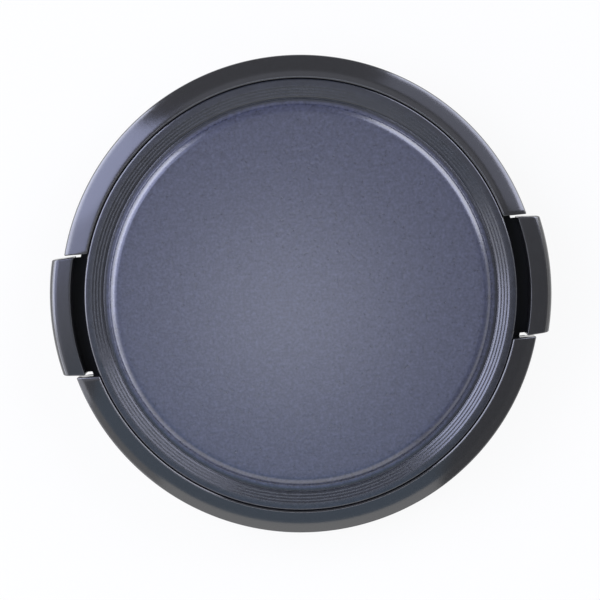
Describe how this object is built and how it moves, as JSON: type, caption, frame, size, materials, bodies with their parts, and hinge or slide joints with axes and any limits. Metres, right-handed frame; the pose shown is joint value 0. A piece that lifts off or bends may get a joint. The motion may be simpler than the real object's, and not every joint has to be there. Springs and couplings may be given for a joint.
{
  "type": "camera lens cap",
  "caption": "Round side-pinch lens cap: a ringed front plate set in a flanged ring, with sprung finger-tab latches whose ridged jaws grip the lens's filter thread.",
  "frame": {"origin": "centre of the rear rim's plane, on the cap's axis", "axes": "+Z out of the cap's front, X along the line through the two finger tabs"},
  "size_m": [0.0658, 0.0628, 0.008],
  "materials": {
    "ring_plastic": "satin",
    "plate_plastic": "matte",
    "latch_plastic": "satin",
    "spring_steel": "satin"
  },
  "bodies": {
    "cap": {"ring_body": "ring_plastic", "front_plate": "plate_plastic", "left_spring": "spring_steel", "right_spring": "spring_steel"},
    "left_latch": {"left_latch": "latch_plastic"},
    "right_latch": {"right_latch": "latch_plastic"}
  },
  "joints": [
    {"name": "left_latch_slide", "type": "slide", "parent": "cap", "child": "left_latch", "axis": [1, 0, 0], "range_m": [0, 0.0015], "stiffness_N_per_m": 900, "springref_m": -0.003, "deforming": ["left_spring"]},
    {"name": "right_latch_slide", "type": "slide", "parent": "cap", "child": "right_latch", "axis": [-1, 0, 0], "range_m": [0, 0.0015], "stiffness_N_per_m": 900, "springref_m": -0.003, "deforming": ["right_spring"]}
  ]
}
